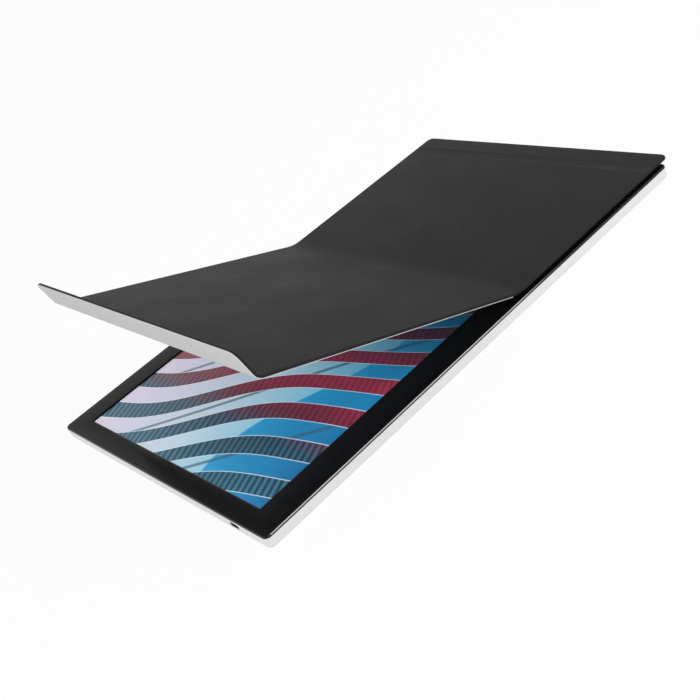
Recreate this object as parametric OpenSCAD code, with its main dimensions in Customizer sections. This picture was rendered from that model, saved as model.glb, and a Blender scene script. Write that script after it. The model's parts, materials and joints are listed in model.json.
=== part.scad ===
/* [Display case] */
// Width of the display, left to right
display_w = 373; // [360:1:400]
// Height of the display, bottom to top
display_h = 235; // [232:1:250]
// Thickness of the display, back face to bezel face
display_t = 8.5; // [8.3:0.1:10]
// Corner radius of the display's outline
corner_r = 4; // [3:0.5:6]
// Height of the black bezel seen from the side
bezel_side_h = 1.5; // [1.3:0.1:1.8]
// Thickness of the bezel over the screen's border
bezel_plate_t = 0.8; // [0.6:0.05:0.9]
// Thickness of the rear shell's back wall
back_wall_t = 1.3; // [1:0.1:1.4]
// Thickness of the rear shell's side walls
side_wall_t = 1.6; // [1.2:0.1:2]
// Rounding of the rear shell's back edge
back_edge_r = 1.2; // [0.6:0.1:1.5]

/* [Screen] */
// Bezel beside the picture, left and right: leaves a 15.6 inch picture 344.2 wide
bezel_side = 14.4; // [12:0.1:18]
// Bezel above the picture
bezel_top = 18.3; // [12:0.1:20]
// Bezel below the picture: leaves a picture 193.6 high
bezel_bottom = 23.1; // [22:0.1:26]
// Black border that shows round the picture inside the bezel
black_border = 1; // [0.6:0.1:1.5]
// Panel border beyond the picture at the left, right and top
panel_side_border = 3.2; // [2.8:0.1:4]
// Panel border beyond the picture at the bottom
panel_bottom_border = 8.6; // [8:0.1:9]
// Thickness of the front polariser
polariser_t = 0.2; // [0.15:0.05:0.25]
// Thickness of the liquid crystal cell's two glasses
cell_t = 0.8; // [0.6:0.05:0.85]
// Thickness of the rear polariser
rear_polariser_t = 0.15; // [0.1:0.05:0.2]
// Thickness of one prism film
prism_t = 0.12; // [0.1:0.01:0.14]
// Thickness of the diffuser film
diffuser_t = 0.16; // [0.1:0.01:0.2]
// Thickness of the light guide plate
light_guide_t = 0.6; // [0.5:0.05:0.65]
// Thickness of the reflector film
reflector_t = 0.15; // [0.1:0.01:0.2]
// Thickness of the panel's metal tray
tray_t = 0.3; // [0.2:0.05:0.35]
// Number of lamps on the backlight strip
led_count = 48; // [24:4:56]

/* [Electronics] */
// Length of the main board
board_l = 114; // [100:1:120]
// Width of the main board
board_w = 55; // [50:1:56]
// Thickness of the main board
board_t = 0.8; // [0.6:0.1:1]
// Height of the main board's bosses above the back wall
board_boss_h = 1; // [0.8:0.1:1.1]
// Distance of the port's centre from the display's bottom edge
port_from_bottom = 32; // [28:1:36]
// Width of the port's metal shell
port_w = 8.94; // [8.9:0.01:9]
// Height of the port's metal shell
port_h = 3.26; // [3.2:0.01:3.3]
// Depth of the port's metal shell
port_l = 7.4; // [7:0.1:8]
// Distance of the button's centre from the display's bottom edge
button_from_bottom = 50.5; // [48:0.5:53]
// Length of the button's cap
button_w = 6; // [5:0.5:7]
// Height of the button's cap
button_h = 2.2; // [1.8:0.1:2.4]
// How far the button's cap stands proud of the shell
button_proud = 0.3; // [0.3:0.05:0.5]
// Width of the driver board below the panel
driver_board_w = 9; // [7:0.5:9.5]

/* [Cover] */
// Width of the cover across the display's height
cover_w = 229; // [220:1:231]
// Thickness of the cover's outer skin
skin_t = 0.6; // [0.5:0.05:0.8]
// Thickness of the cover's stiffening boards
stiffener_t = 1.2; // [1:0.1:1.6]
// Thickness of the cover's soft lining
lining_t = 0.4; // [0.3:0.05:0.5]
// Gap between the closed cover and the bezel
cover_gap = 0.8; // [0.5:0.1:1.5]
// How far the cover stands out past the display's right side
overhang = 7; // [5:0.5:9]
// Length of the fixed strip on the right bezel, outer edge to groove
strip_l = 19; // [17:0.5:22]
// Length of the half that lies flat, groove to middle crease
inner_l = 141.6; // [130:0.1:150]
// Length of the half that is lifted, middle crease to flap crease
outer_l = 192.9; // [180:0.1:196]
// Length of the free flap
flap_l = 20.7; // [18:0.1:22]
// Corner radius of the cover's outline
cover_corner_r = 5; // [4:0.5:9]
// Margin of skin round each stiffening board
skin_margin = 1; // [0.8:0.1:1.5]
// Half width of the soft band at the groove
groove_half = 4.5; // [3:0.1:6]
// Half width of the soft band at the other creases
crease_half = 2; // [1.5:0.1:3]
// Gap between two sections at a crease
crease_gap = 0.4; // [0.3:0.05:0.6]
// Angle of the lifted half in the stored pose
lift_angle = 22.5; // [5:0.5:60]
// Angle of the flap against the lifted half in the stored pose
flap_angle = 53.4; // [10:0.2:100]

/* [Cover attachment] */
// Depth of the rear strip behind the display
rear_strip_l = 40; // [30:1:48]
// Distance from the cover's edge to the spine's end
spine_inset = 12; // [8:1:20]
// Radius of the spine's bottom fold, outside
spine_fold_r = 2.5; // [2.3:0.1:3.5]
// Height of the rear strip's skin above the resting plane
rear_strip_lift = 0.1; // [0.05:0.05:0.2]
// Number of magnets in the rear strip
strip_magnet_count = 4; // [2:1:6]

/* [Magnets and fixings] */
// Length of each bar magnet
magnet_l = 25; // [18:1:28]
// Width of the flap's bar magnets
flap_magnet_w = 6; // [4:0.5:7]
// Width of the display's closing magnets
magnet_w = 7; // [5:0.5:7.5]
// Thickness of the display's closing magnets
magnet_t = 2; // [1.5:0.1:2]
// Diameter of the rear strip's disc magnets
disc_magnet_d = 14; // [10:1:16]
// Thickness of the steel keepers inside the back wall
keeper_t = 0.5; // [0.3:0.1:0.6]
// Thickness of the panel's side brackets
bracket_t = 0.4; // [0.3:0.05:0.5]
// Diameter of a screw's shank
screw_d = 1.8; // [1.6:0.1:2]
// Diameter of a screw's head
screw_head_d = 3.6; // [3:0.1:4]
// Thickness of a screw's head
screw_head_t = 0.6; // [0.4:0.1:0.7]

/* [Hidden] */
$fn = 64;

// Clearance between fixed pieces that fit into each other
fit_gap = 0.1;
// Clearance round the panel and the boards
seat_gap = 0.3;
// Overlap that joins the primitives of one outline or solid
weld = 0.2;
// Step that keeps a cut clear of the face it opens
cut = 1;

left_x = -display_w / 2;
right_x = display_w / 2;
bottom_y = -display_h / 2;
parting_z = display_t - bezel_side_h;
edge_chamfer = 0.5;
parting_groove = 0.25;

// Levels of the screen, from the bezel down
tape_t = 0.1;
screen_z = display_t - bezel_plate_t - tape_t;
cell_top_z = screen_z - polariser_t;
cell_z = cell_top_z - cell_t;
rear_polariser_z = cell_z - rear_polariser_t;
prism_z = rear_polariser_z - 2 * prism_t;
diffuser_z = prism_z - diffuser_t;
light_guide_z = diffuser_z - light_guide_t;
reflector_z = light_guide_z - reflector_t;
tray_z = reflector_z - tray_t;

// Picture, opening and panel in the display's plane
picture_w = display_w - 2 * bezel_side;
picture_h = display_h - bezel_top - bezel_bottom;
picture_x0 = -picture_w / 2;
picture_y0 = bottom_y + bezel_bottom;
panel_x0 = picture_x0 - panel_side_border;
panel_x1 = picture_x0 + picture_w + panel_side_border;
panel_y0 = picture_y0 - panel_bottom_border;
panel_y1 = picture_y0 + picture_h + panel_side_border;
tray_wall = 0.4;
film_border = 1.6;
film_bottom_border = 3;
led_bar_w = 2.4;
led_l = 3;
led_w = 1;
led_h = 0.5;
led_board_t = 0.1;

// Electronics
board_z = back_wall_t + board_boss_h;
board_top_z = board_z + board_t;
board_side_space = 1.5;
board_bottom_space = 10.4;
board_x0 = left_x + side_wall_t + board_side_space;
board_y0 = bottom_y + side_wall_t + board_bottom_space;
board_y1 = board_y0 + board_w;
port_y = bottom_y + port_from_bottom;
port_z = board_z + port_h / 2;
port_wall = 0.25;
port_set_in = 0.2;
port_x0 = left_x + port_set_in;
tongue_w = 6.7;
tongue_t = 0.7;
tongue_l = 5;
switch_h = 1.6;
button_y = bottom_y + button_from_bottom;
button_z = board_top_z + switch_h / 2;
button_gap = 0.15;
button_travel = 0.4;
flange_t = 0.8;
flange_margin = 1;
switch_w = 4;
switch_l = 3.4;
plunger_r = 0.6;
plunger_gap = 0.08;
plunger_depth = 1.2;
switch_space = 1;
inner_wall_x = left_x + side_wall_t;
flange_x0 = inner_wall_x + fit_gap / 2;
switch_x0 = flange_x0 + flange_t + switch_space;
chip_t = 1;
// Chips on the main board: place from the board's left edge and from the port's axis, length, width
chips = [[45, -7, 14, 14], [66, -5, 8, 10], [28, -12, 5, 5], [88, 12, 6, 8]];
can_t = 0.2;
can_h = 1.4;
can_x0 = board_x0 + 41;
can_l = 38;
can_w = 22;
boss_r = 2.5;
port_screw_space = 18;
board_screw_in = 5.5;
board_screw_x = [board_x0 + port_screw_space, board_x0 + board_l - board_screw_in];
board_screw_y = [board_y0 + board_screw_in, board_y1 - board_screw_in];
screw_bite = 0.8;
driver_board_t = 0.6;
driver_film_t = 0.1;
driver_z = cell_z - driver_film_t - driver_board_t;
driver_l = 300;
driver_y1 = panel_y0 - 1;
driver_y0 = driver_y1 - driver_board_w;
driver_rib_w = 2;
driver_rib_count = 5;
driver_rib_pitch = 50;
flex_count = 6;
flex_w = 22;
cable_w = 20;
cable_t = 0.3;
cable_x = -driver_rib_count / 2 * driver_rib_pitch;
connector_h = 0.9;
connector_w = 3;
connector_margin = 1;

// Cover levels: every crease turns about the outer face of the skin
cover_t = skin_t + stiffener_t + lining_t;
cover_z = display_t + cover_gap + cover_t;
spine_x = right_x + overhang;
groove_x = spine_x - strip_l;
middle_x = groove_x - inner_l;

// Attachment behind the display
spine_w = cover_w - 2 * spine_inset;
recess_depth = rear_strip_lift + cover_t;
recess_w = spine_w + 2;
recess_wall_t = 1.1;
recess_x0 = right_x - rear_strip_l - 1;
recess_floor_z = recess_depth + recess_wall_t;
strip_magnet_pitch = spine_w / strip_magnet_count;
strip_magnet_x = right_x - rear_strip_l / 2;

// Magnets and brackets in the side borders
magnet_from_end = 29.5;
magnet_from_button = 32;
closing_magnet_y = [button_y + magnet_from_button, cover_w / 2 - magnet_from_end];
closing_magnet_x = left_x + side_wall_t + 1 + magnet_w / 2;
closing_magnet_z = parting_z - fit_gap - magnet_t;
bracket_l = 80;
bracket_y = (closing_magnet_y[0] + closing_magnet_y[1]) / 2;
bracket_under = 4;
bracket_screw_step = 25;
bracket_z = tray_z - bracket_t;
bracket_x = panel_x1 + (right_x - side_wall_t - panel_x1) / 2;
bracket_boss_r = 2.2;
post_r = 3;
post_pitch = 90;
post_from_side = 76;
post_from_top = 57.5;
post_x = [for (i = [0 : 2]) left_x + post_from_side + i * post_pitch];
post_y = [for (i = [0, 1]) display_h / 2 - post_from_top - i * post_pitch];
hook_w = 8;
hook_t = 1;
hook_h = 2;
hook_pitch = 50;
hook_x = [for (i = [0 : 2]) (i + 0.5) * hook_pitch];

// Outlines
module box(x0, x1, y0, y1, z0, z1) {
    translate([x0, y0, z0])
        cube([x1 - x0, y1 - y0, z1 - z0]);
}

// Rectangle from x0 to x1, centred on the X axis, with its own radius at each end
module rounded_strip(x0, x1, w, left_r, right_r) {
    translate([x0 + left_r, -w / 2])
        square([x1 - x0 - left_r - right_r, w]);
    if (left_r > 0) {
        translate([x0, -w / 2 + left_r])
            square([left_r + weld, w - 2 * left_r]);
        for (side = [-1, 1])
            translate([x0 + left_r, side * (w / 2 - left_r)])
                circle(r = left_r);
    }
    if (right_r > 0) {
        translate([x1 - right_r - weld, -w / 2 + right_r])
            square([right_r + weld, w - 2 * right_r]);
        for (side = [-1, 1])
            translate([x1 - right_r, side * (w / 2 - right_r)])
                circle(r = right_r);
    }
}

module rounded_rect(w, h, r) {
    rounded_strip(-w / 2, w / 2, h, r, r);
}

// Slab of the display's outline, drawn in by inset, from z0 to z1
module display_slab(inset, z0, z1, fine = 64) {
    translate([0, 0, z0])
        linear_extrude(z1 - z0)
            rounded_rect(display_w - 2 * inset, display_h - 2 * inset, corner_r - inset, $fn = fine);
}

// Flat piece of the panel, drawn in from the panel's outline
module panel_sheet(inset, bottom_inset, z0, z1) {
    box(panel_x0 + inset, panel_x1 - inset, panel_y0 + bottom_inset, panel_y1 - inset, z0, z1);
}

// Round-ended slot along Y, cut through or built from x0 to x1
module slot_x(y, z, w, h, x0, x1) {
    for (side = [-1, 1])
        translate([x0, y + side * (w - h) / 2, z])
            rotate([0, 90, 0])
                cylinder(d = h, h = x1 - x0);
    box(x0, x1, y - (w - h) / 2, y + (w - h) / 2, z - h / 2, z + h / 2);
}

module screw(x, y, seat_z, bite) {
    translate([x, y, seat_z])
        cylinder(d = screw_head_d, h = screw_head_t);
    translate([x, y, seat_z - bite])
        cylinder(d = screw_d, h = bite + weld);
}

// Display case

module shell_outside() {
    hull() {
        display_slab(back_edge_r, 0, 0.05, 32);
        display_slab(back_edge_r * 0.29, back_edge_r * 0.29, back_edge_r * 0.29 + 0.05, 32);
        display_slab(0, back_edge_r, parting_z, 32);
    }
}

module shell_posts() {
    for (y = board_screw_y, x = board_screw_x)
        translate([x, y, back_wall_t - weld])
            cylinder(r = boss_r, h = board_boss_h + weld);
    for (side = [-1, 1], y = bracket_screw_y())
        translate([side * bracket_x, y, back_wall_t - weld])
            cylinder(r = bracket_boss_r, h = bracket_z - back_wall_t + weld);
    for (x = post_x, y = post_y)
        translate([x, y, back_wall_t - weld])
            cylinder(r = post_r, h = tray_z - back_wall_t + weld);
    for (y = closing_magnet_y)
        box(closing_magnet_x - magnet_w / 2, closing_magnet_x + magnet_w / 2,
            y - magnet_l / 2, y + magnet_l / 2, back_wall_t - weld, closing_magnet_z);
    for (i = [0 : driver_rib_count - 1])
        translate([(i - (driver_rib_count - 1) / 2) * driver_rib_pitch, 0, 0])
            box(-driver_rib_w / 2, driver_rib_w / 2, bottom_y + side_wall_t - weld,
                min(driver_y1, board_y0) - seat_gap, back_wall_t - weld, driver_z);
}

module rear_shell() {
    color("whitesmoke")
        difference() {
            union() {
                difference() {
                    shell_outside();
                    display_slab(side_wall_t, back_wall_t, parting_z + cut);
                }
                shell_posts();
                box(recess_x0 - back_wall_t, right_x - side_wall_t + weld,
                    -recess_w / 2 - back_wall_t, recess_w / 2 + back_wall_t,
                    back_wall_t - weld, recess_floor_z);
            }
            box(recess_x0, right_x + cut, -recess_w / 2, recess_w / 2, -cut, recess_depth);
            slot_x(port_y, port_z, port_w + 2 * fit_gap, port_h + 2 * fit_gap,
                left_x - cut, inner_wall_x + cut);
            slot_x(button_y, button_z, button_w + 2 * button_gap, button_h + 2 * button_gap,
                left_x - cut, inner_wall_x + cut);
            for (y = board_screw_y, x = board_screw_x)
                translate([x, y, board_z - screw_bite - fit_gap])
                    cylinder(d = screw_d + fit_gap, h = screw_bite + cut);
            for (side = [-1, 1], y = bracket_screw_y())
                translate([side * bracket_x, y, bracket_z - screw_bite - fit_gap])
                    cylinder(d = screw_d + fit_gap, h = screw_bite + cut);
        }
}

// Hooks under the bezel that snap inside the shell's long walls
module bezel_hooks() {
    wall_y = display_h / 2 - side_wall_t - fit_gap;
    for (side = [-1, 1], end = [-1, 1], x = hook_x)
        translate([end * x, side * (wall_y - hook_t / 2), parting_z - hook_h / 2 + weld / 2])
            cube([hook_w, hook_t, hook_h + weld], center = true);
}

module front_bezel() {
    color([0.08, 0.08, 0.08]) {
        bezel_hooks();
        difference() {
            hull() {
                display_slab(parting_groove, parting_z, parting_z + 0.05, 32);
                display_slab(0, parting_z + parting_groove, display_t - edge_chamfer, 32);
                display_slab(edge_chamfer, display_t - 0.05, display_t, 32);
            }
            box(picture_x0 - black_border, picture_x0 + picture_w + black_border,
                picture_y0 - black_border, picture_y0 + picture_h + black_border,
                parting_z - cut, display_t + cut);
            box(panel_x0 - seat_gap, panel_x1 + seat_gap, panel_y0 - seat_gap, panel_y1 + seat_gap,
                parting_z - cut, display_t - bezel_plate_t);
        }
    }
}

module bezel_tape() {
    color("dimgray")
        difference() {
            panel_sheet(tray_wall + seat_gap, tray_wall + seat_gap, screen_z, screen_z + tape_t);
            box(picture_x0 - black_border - seat_gap, picture_x0 + picture_w + black_border + seat_gap,
                picture_y0 - black_border - seat_gap,
                picture_y0 + picture_h + black_border + seat_gap,
                screen_z - cut, screen_z + cut);
        }
}

// Screen, from the front down

module front_polariser() {
    color([0.05, 0.08, 0.15])
        panel_sheet(tray_wall + seat_gap, tray_wall + seat_gap, cell_top_z, screen_z);
}

module lcd_cell() {
    color([0.1, 0.3, 0.5])
        panel_sheet(tray_wall + seat_gap, tray_wall + seat_gap, cell_z, cell_top_z);
}

module rear_polariser() {
    color("slategray")
        panel_sheet(film_border, panel_bottom_border - film_bottom_border, rear_polariser_z, cell_z);
}

module prism_films() {
    color("lightcyan")
        for (i = [0, 1])
            panel_sheet(film_border, panel_bottom_border - film_bottom_border,
                prism_z + i * prism_t, prism_z + (i + 1) * prism_t);
}

module diffuser_film() {
    color("white")
        panel_sheet(film_border, panel_bottom_border - film_bottom_border, diffuser_z, prism_z);
}

module light_guide() {
    color("azure")
        panel_sheet(film_border, panel_bottom_border - film_bottom_border, light_guide_z, diffuser_z);
}

module reflector_film() {
    color("white")
        panel_sheet(tray_wall + seat_gap, tray_wall + seat_gap, reflector_z, light_guide_z);
}

module led_strip() {
    color("khaki") {
        led_y1 = picture_y0 - film_bottom_border - fit_gap;
        pitch = picture_w / led_count;
        box(picture_x0, picture_x0 + picture_w, led_y1 - led_bar_w, led_y1,
            light_guide_z, light_guide_z + led_board_t);
        for (i = [0 : led_count - 1])
            translate([picture_x0 + (i + 0.5) * pitch, led_y1 - led_w, light_guide_z + led_board_t])
                translate([-led_l / 2, 0, -led_board_t / 2])
                    cube([led_l, led_w, led_h]);
    }
}

module panel_tray() {
    color("gainsboro")
        difference() {
            panel_sheet(0, 0, tray_z, rear_polariser_z);
            panel_sheet(tray_wall, tray_wall, reflector_z, rear_polariser_z + cut);
        }
}

// Electronics

module driver_board() {
    color("darkgreen") {
        box(-driver_l / 2, driver_l / 2, driver_y0, driver_y1, driver_z, driver_z + driver_board_t);
        box(cable_x - cable_w / 2 - connector_margin, cable_x + cable_w / 2 + connector_margin,
            driver_y0 + connector_margin, driver_y0 + connector_margin + connector_w,
            driver_z - connector_h, driver_z);
    }
}

module driver_flexes() {
    color("orange")
        for (i = [0 : flex_count - 1])
            translate([(i - (flex_count - 1) / 2) * driver_l / flex_count, 0, 0])
                box(-flex_w / 2, flex_w / 2, driver_y1 - 3, picture_y0 - film_bottom_border - 0.6,
                    cell_z - driver_film_t, cell_z);
}

module panel_cable() {
    color("gray") {
        cable_y0 = driver_y0 + connector_margin + connector_w / 2;
        x0 = cable_x - cable_w / 2;
        box(x0, x0 + cable_w, cable_y0 - cable_t / 2, board_y0 + 2,
            board_top_z, board_top_z + cable_t);
        box(x0, x0 + cable_w, cable_y0 - cable_t / 2, cable_y0 + cable_t / 2,
            board_top_z, driver_z - connector_h);
    }
}

module main_board() {
    color("green")
        difference() {
            box(board_x0, board_x0 + board_l, board_y0, board_y1, board_z, board_top_z);
            box(board_x0 - cut, port_x0 + port_l + fit_gap, port_y - port_w / 2 - fit_gap,
                port_y + port_w / 2 + fit_gap, board_z - cut, board_top_z + cut);
            for (y = board_screw_y, x = board_screw_x)
                translate([x, y, board_z - cut])
                    cylinder(d = screw_d + 2 * fit_gap, h = board_t + 2 * cut);
        }
}

module board_chips() {
    color([0.15, 0.15, 0.15])
        for (chip = chips)
            translate([board_x0 + chip[0], port_y + chip[1], board_top_z])
                cube([chip[2], chip[3], chip_t]);
}

module shield_can() {
    color("silver")
        difference() {
            box(can_x0, can_x0 + can_l, port_y - can_w / 2, port_y + can_w / 2,
                board_top_z, board_top_z + can_h);
            box(can_x0 + can_t, can_x0 + can_l - can_t, port_y - can_w / 2 + can_t,
                port_y + can_w / 2 - can_t, board_top_z - cut, board_top_z + can_h - can_t);
        }
}

module usb_c_receptacle() {
    color("lightgray")
        difference() {
            slot_x(port_y, port_z, port_w, port_h, port_x0, port_x0 + port_l);
            slot_x(port_y, port_z, port_w - 2 * port_wall, port_h - 2 * port_wall,
                port_x0 - cut, port_x0 + port_l - port_wall);
        }
}

module usb_c_tongue() {
    color("black")
        box(port_x0 + port_l - port_wall - tongue_l, port_x0 + port_l - port_wall,
            port_y - tongue_w / 2, port_y + tongue_w / 2, port_z - tongue_t / 2, port_z + tongue_t / 2);
}

module tact_switch() {
    color("dimgray")
        difference() {
            box(switch_x0, switch_x0 + switch_l, button_y - switch_w / 2, button_y + switch_w / 2,
                board_top_z, board_top_z + switch_h);
            translate([switch_x0 - cut, button_y, button_z])
                rotate([0, 90, 0])
                    cylinder(r = plunger_r + plunger_gap, h = plunger_depth + button_travel + cut + fit_gap);
        }
}

module switch_plunger() {
    color("ivory")
        translate([flange_x0 + flange_t, button_y, button_z])
            rotate([0, 90, 0])
                cylinder(r = plunger_r, h = switch_x0 + plunger_depth - flange_x0 - flange_t);
}

module power_button() {
    color("gainsboro") {
        slot_x(button_y, button_z, button_w, button_h, left_x - button_proud, flange_x0 + weld);
        box(flange_x0, flange_x0 + flange_t, button_y - button_w / 2 - flange_margin,
            button_y + button_w / 2 + flange_margin, button_z - button_h / 2 - fit_gap,
            button_z + button_h / 2 + flange_margin);
    }
}

// Fixings and magnets in the case

function bracket_screw_y() = [bracket_y - bracket_screw_step, bracket_y + bracket_screw_step];

module board_screws() {
    color("silver")
        for (y = board_screw_y, x = board_screw_x)
            screw(x, y, board_top_z, board_t + screw_bite);
}

module panel_bracket() {
    difference() {
        box(panel_x1 - bracket_under, right_x - side_wall_t - seat_gap,
            bracket_y - bracket_l / 2, bracket_y + bracket_l / 2, bracket_z, tray_z);
        for (y = bracket_screw_y())
            translate([bracket_x, y, bracket_z - cut])
                cylinder(d = screw_d + 2 * fit_gap, h = bracket_t + 2 * cut);
    }
}

module panel_brackets() {
    color("lightsteelblue") {
        panel_bracket();
        mirror([1, 0, 0])
            panel_bracket();
    }
}

module bracket_screws() {
    color("silver")
        for (side = [-1, 1], y = bracket_screw_y())
            screw(side * bracket_x, y, tray_z, bracket_t + screw_bite);
}

module closing_magnets() {
    color("darkgray")
        for (y = closing_magnet_y)
            box(closing_magnet_x - magnet_w / 2, closing_magnet_x + magnet_w / 2,
                y - magnet_l / 2, y + magnet_l / 2, closing_magnet_z, closing_magnet_z + magnet_t);
}

module keeper_plates() {
    color("gray")
        for (i = [0 : strip_magnet_count - 1])
            translate([strip_magnet_x, (i - (strip_magnet_count - 1) / 2) * strip_magnet_pitch,
                recess_floor_z])
                cylinder(d = disc_magnet_d, h = keeper_t);
}

// Cover attachment: rear strip and spine

// Outline of the rear strip and spine in the XZ plane, drawn in by inset
module wrap_outline(inset) {
    x0 = right_x - rear_strip_l;
    bottom = rear_strip_lift + inset;
    translate([x0, bottom])
        square([spine_x - spine_fold_r - x0, cover_z]);
    translate([x0, rear_strip_lift + spine_fold_r])
        square([spine_x - inset - x0, cover_z]);
    translate([spine_x - spine_fold_r, rear_strip_lift + spine_fold_r])
        circle(r = spine_fold_r - inset);
}

// One layer of the wrap between two depths below its outer face
module wrap_layer(depth0, depth1) {
    top = cover_z - cover_t;
    intersection() {
        translate([0, spine_w / 2, 0])
            rotate([90, 0, 0])
                linear_extrude(spine_w)
                    difference() {
                        wrap_outline(depth0);
                        wrap_outline(depth1);
                    }
        box(right_x - rear_strip_l, spine_x + cut, -spine_w, spine_w, -cut, top);
    }
}

module spine_skin() {
    color([0.22, 0.22, 0.22])
        difference() {
            wrap_layer(0, skin_t + stiffener_t);
            spine_board_space();
            rear_board_space();
        }
}

module spine_board_space() {
    box(spine_x - skin_t - stiffener_t, spine_x - skin_t,
        -spine_w / 2 + skin_margin, spine_w / 2 - skin_margin,
        rear_strip_lift + spine_fold_r + crease_half / 2, cover_z - cover_t - skin_margin);
}

module rear_board_space() {
    z0 = rear_strip_lift + skin_t;
    box(right_x - rear_strip_l + skin_margin, spine_x - spine_fold_r - crease_half,
        -spine_w / 2 + skin_margin, spine_w / 2 - skin_margin, z0, z0 + stiffener_t);
}

module spine_board() {
    color("tan")
        spine_board_space();
}

module rear_board() {
    color("tan")
        difference() {
            rear_board_space();
            strip_magnet_discs(cut);
        }
}

module strip_magnet_discs(extra) {
    for (i = [0 : strip_magnet_count - 1])
        translate([strip_magnet_x, (i - (strip_magnet_count - 1) / 2) * strip_magnet_pitch,
            rear_strip_lift + skin_t - extra])
            cylinder(d = disc_magnet_d + (extra > 0 ? 2 * fit_gap : 0), h = stiffener_t + 2 * extra);
}

module strip_magnets() {
    color("darkgray")
        strip_magnet_discs(0);
}

module spine_lining() {
    color("lightgray")
        wrap_layer(skin_t + stiffener_t, cover_t);
}

// Cover sections: each lies along -X from the crease that carries it, outer face at z = 0

// Full outline of a section, used to round its free corners
module section_outline(length, left_r, right_r) {
    translate([0, 0, -cover_t - cut])
        linear_extrude(cover_t + 2 * cut)
            rounded_strip(-length, 0, cover_w, left_r, right_r);
}

// Ends of the stiff stretch of a section; a soft band of 0 is a free edge
function stiff_x0(length, left_band) = -length + left_band;
function stiff_x1(right_band) = -right_band;
function band_end(band) = band > 0 ? crease_gap / 2 : 0;

module section_board(length, left_band, right_band, left_r, right_r) {
    intersection() {
        box(stiff_x0(length, left_band) + skin_margin, stiff_x1(right_band) - skin_margin,
            -cover_w / 2 + skin_margin, cover_w / 2 - skin_margin,
            -skin_t - stiffener_t, -skin_t);
        translate([0, 0, -cover_t])
            linear_extrude(cover_t)
                rounded_strip(-length + skin_margin, -skin_margin, cover_w - 2 * skin_margin,
                    max(left_r - skin_margin, 0), max(right_r - skin_margin, 0));
    }
}

module section_skin(length, left_band, right_band, left_r, right_r) {
    difference() {
        intersection() {
            union() {
                box(-length + band_end(left_band), -band_end(right_band),
                    -cover_w / 2, cover_w / 2, -skin_t, 0);
                box(stiff_x0(length, left_band), stiff_x1(right_band),
                    -cover_w / 2, cover_w / 2, -skin_t - stiffener_t, 0);
            }
            section_outline(length, left_r, right_r);
        }
        section_board(length, left_band, right_band, left_r, right_r);
    }
}

module section_lining(length, left_band, right_band, left_r, right_r) {
    web_z = -skin_t - lining_t;
    intersection() {
        union() {
            box(stiff_x0(length, left_band), stiff_x1(right_band),
                -cover_w / 2, cover_w / 2, -cover_t, -cover_t + lining_t);
            if (right_band > 0)
                lining_band(stiff_x1(right_band), -band_end(right_band), lining_t);
            if (left_band > 0)
                mirror([1, 0, 0])
                    lining_band(-stiff_x0(length, left_band), length - band_end(left_band), lining_t);
        }
        section_outline(length, left_r, right_r);
    }
}

// Lining that climbs from the stiff stretch's end at x0 to the skin and runs on to x1
module lining_band(x0, x1, t) {
    box(x0, x0 + t, -cover_w / 2, cover_w / 2, -cover_t, -skin_t);
    box(x0, x1, -cover_w / 2, cover_w / 2, -skin_t - t, -skin_t);
    box(x0 - weld, x0, -cover_w / 2, cover_w / 2, -cover_t, -cover_t + t);
}

module at_groove() {
    translate([groove_x, 0, cover_z])
        children();
}

module at_middle() {
    translate([middle_x, 0, cover_z])
        rotate([0, lift_angle, 0])
            children();
}

module at_flap() {
    at_middle()
        translate([-outer_l, 0, 0])
            rotate([0, flap_angle, 0])
                children();
}

module at_spine() {
    translate([spine_x, 0, cover_z])
        children();
}

skin_colour = [0.22, 0.22, 0.22];

module strip_skin() {
    color(skin_colour)
        at_spine()
            section_skin(strip_l, groove_half, 0, 0, cover_corner_r);
}

module strip_board() {
    color("tan")
        at_spine()
            section_board(strip_l, groove_half, 0, 0, cover_corner_r);
}

module strip_lining() {
    color("lightgray")
        at_spine()
            section_lining(strip_l, groove_half, 0, 0, cover_corner_r);
}

module inner_skin() {
    color(skin_colour)
        at_groove()
            section_skin(inner_l, crease_half, groove_half, 0, 0);
}

module inner_board() {
    color("tan")
        at_groove()
            section_board(inner_l, crease_half, groove_half, 0, 0);
}

module inner_lining() {
    color("lightgray")
        at_groove()
            section_lining(inner_l, crease_half, groove_half, 0, 0);
}

module outer_skin() {
    color(skin_colour)
        at_middle()
            section_skin(outer_l, crease_half, crease_half, 0, 0);
}

module outer_board() {
    color("tan")
        at_middle()
            section_board(outer_l, crease_half, crease_half, 0, 0);
}

module outer_lining() {
    color("lightgray")
        at_middle()
            section_lining(outer_l, crease_half, crease_half, 0, 0);
}

module flap_skin() {
    color(skin_colour)
        at_flap()
            section_skin(flap_l, 0, crease_half, cover_corner_r, 0);
}

module flap_magnet_bars(extra) {
    x1 = -flap_l + skin_margin + 1 + flap_magnet_w;
    for (y = closing_magnet_y)
        box(x1 - flap_magnet_w - extra, x1 + extra, y - magnet_l / 2 - extra,
            y + magnet_l / 2 + extra, -skin_t - stiffener_t - extra, -skin_t + extra);
}

module flap_board() {
    color("tan")
        at_flap()
            difference() {
                section_board(flap_l, 0, crease_half, cover_corner_r, 0);
                flap_magnet_bars(fit_gap);
            }
}

module flap_lining() {
    color("lightgray")
        at_flap()
            section_lining(flap_l, 0, crease_half, cover_corner_r, 0);
}

module flap_magnets() {
    color("darkgray")
        at_flap()
            flap_magnet_bars(0);
}

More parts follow.
